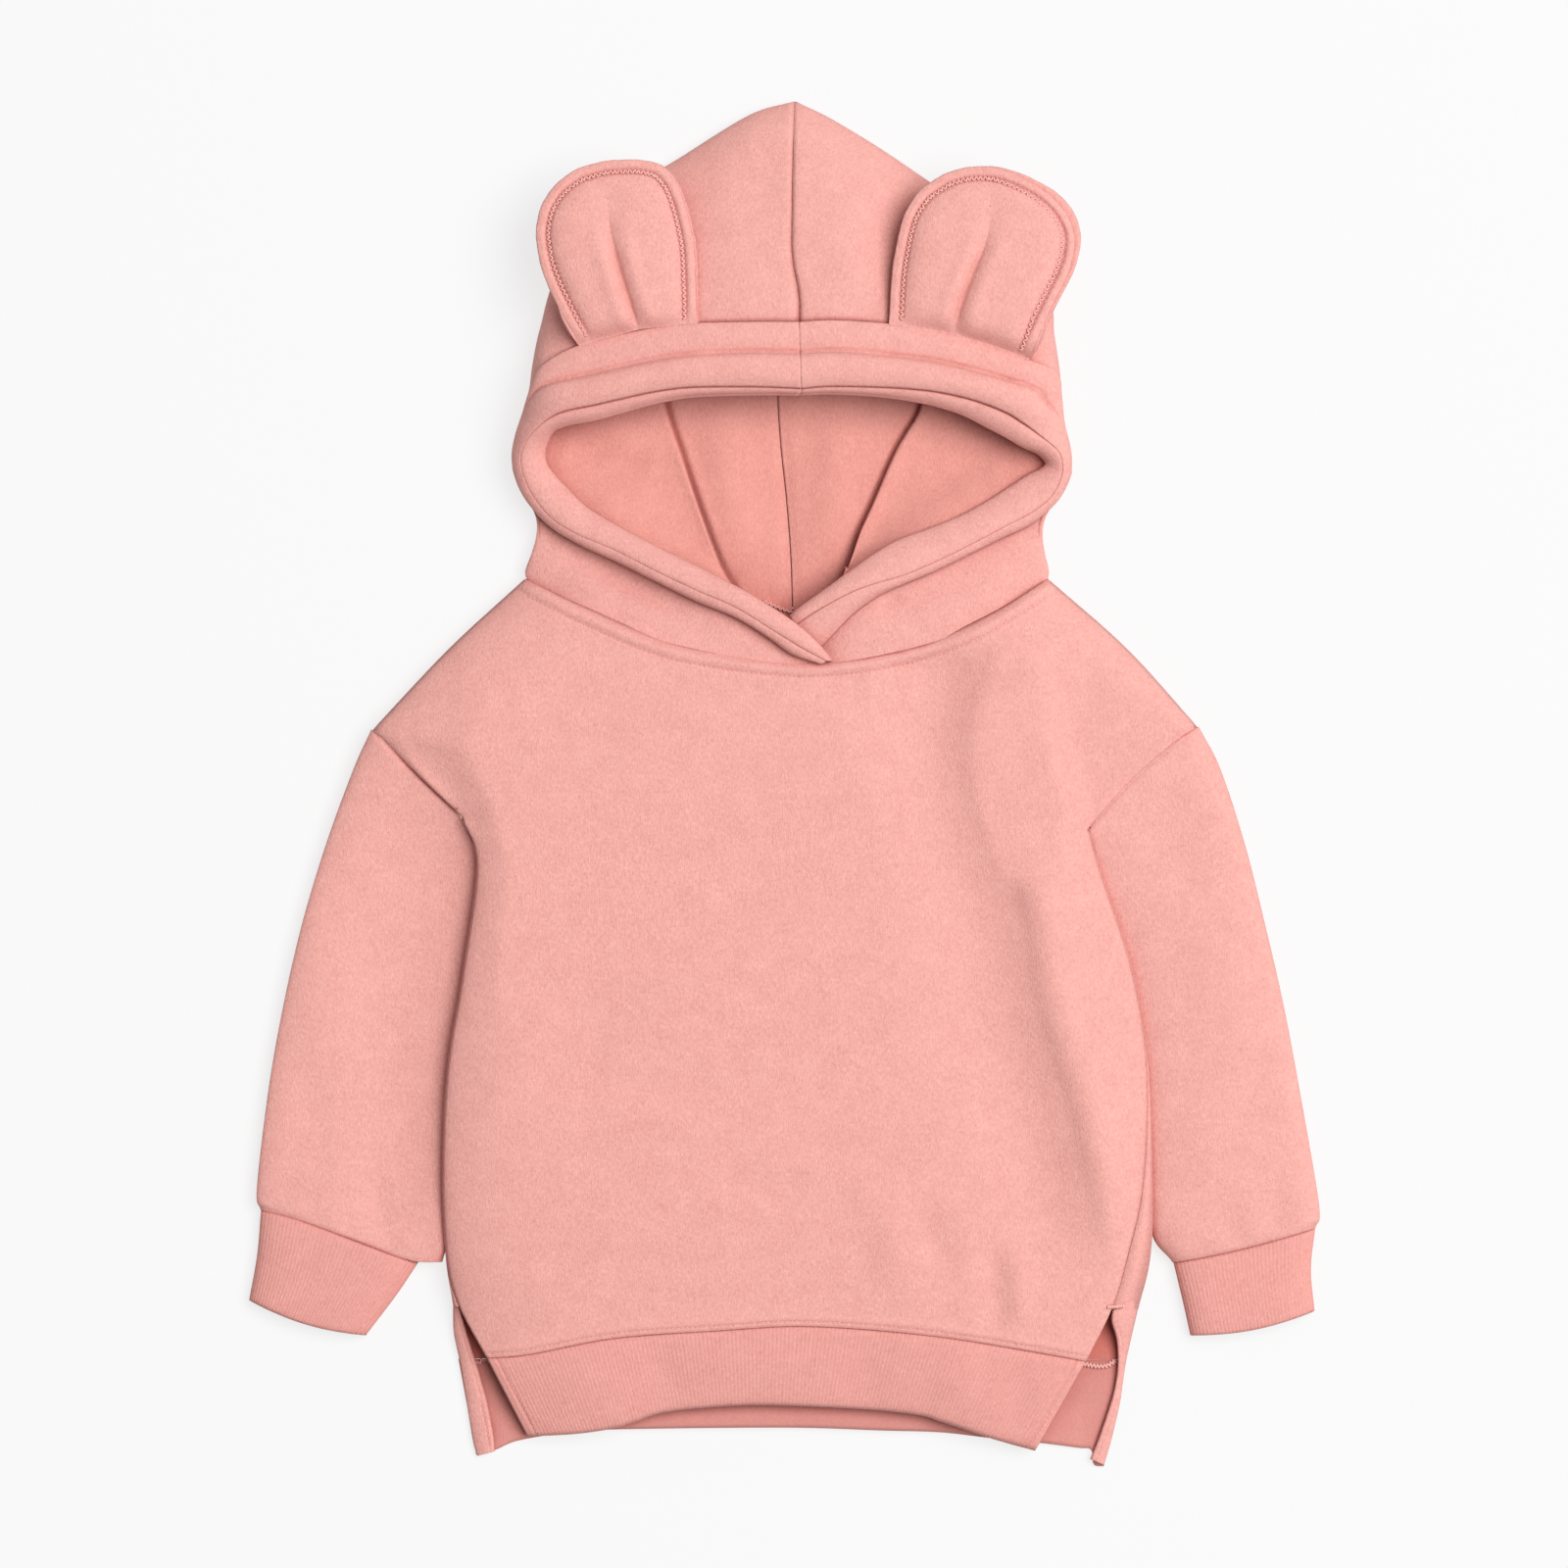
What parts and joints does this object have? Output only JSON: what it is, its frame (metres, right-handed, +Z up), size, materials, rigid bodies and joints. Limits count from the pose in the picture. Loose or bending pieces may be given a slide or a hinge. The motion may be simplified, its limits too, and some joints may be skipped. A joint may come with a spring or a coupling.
{
  "type": "toddler hoodie",
  "caption": "Pull-over toddler hoodie laid flat, with round ears on the hood, ribbed cuffs, a split hem with a longer back and open sleeves, neck and hood.",
  "frame": {"origin": "centre of the garment's bounding box, on the surface it lies on", "axes": "+Z up off the surface it lies on, +Y towards the tip of the hood, +X to the right as the front is looked at from above"},
  "size_m": [0.5449, 0.6961, 0.0477],
  "materials": {
    "fleece": "brushed cotton fleece, matt with a short nap",
    "rib": "fine rib knit, matt"
  },
  "bodies": {
    "root": {"body_front": "fleece", "body_back": "fleece", "sleeve_left": "fleece", "sleeve_right": "fleece", "cuff_left": "rib", "cuff_right": "rib", "hem_front": "rib", "hem_back": "rib", "vent_strip_left": "fleece", "vent_strip_right": "fleece", "hood_outer_left": "fleece", "hood_outer_right": "fleece", "hood_band_left": "fleece", "hood_band_right": "fleece", "hood_facing_left": "fleece", "hood_facing_right": "fleece", "lining_side_left": "fleece", "lining_side_right": "fleece", "lining_back_left": "fleece", "lining_back_right": "fleece", "ear_left_front": "fleece", "ear_left_back": "fleece", "ear_right_front": "fleece", "ear_right_back": "fleece"}
  },
  "joints": []
}
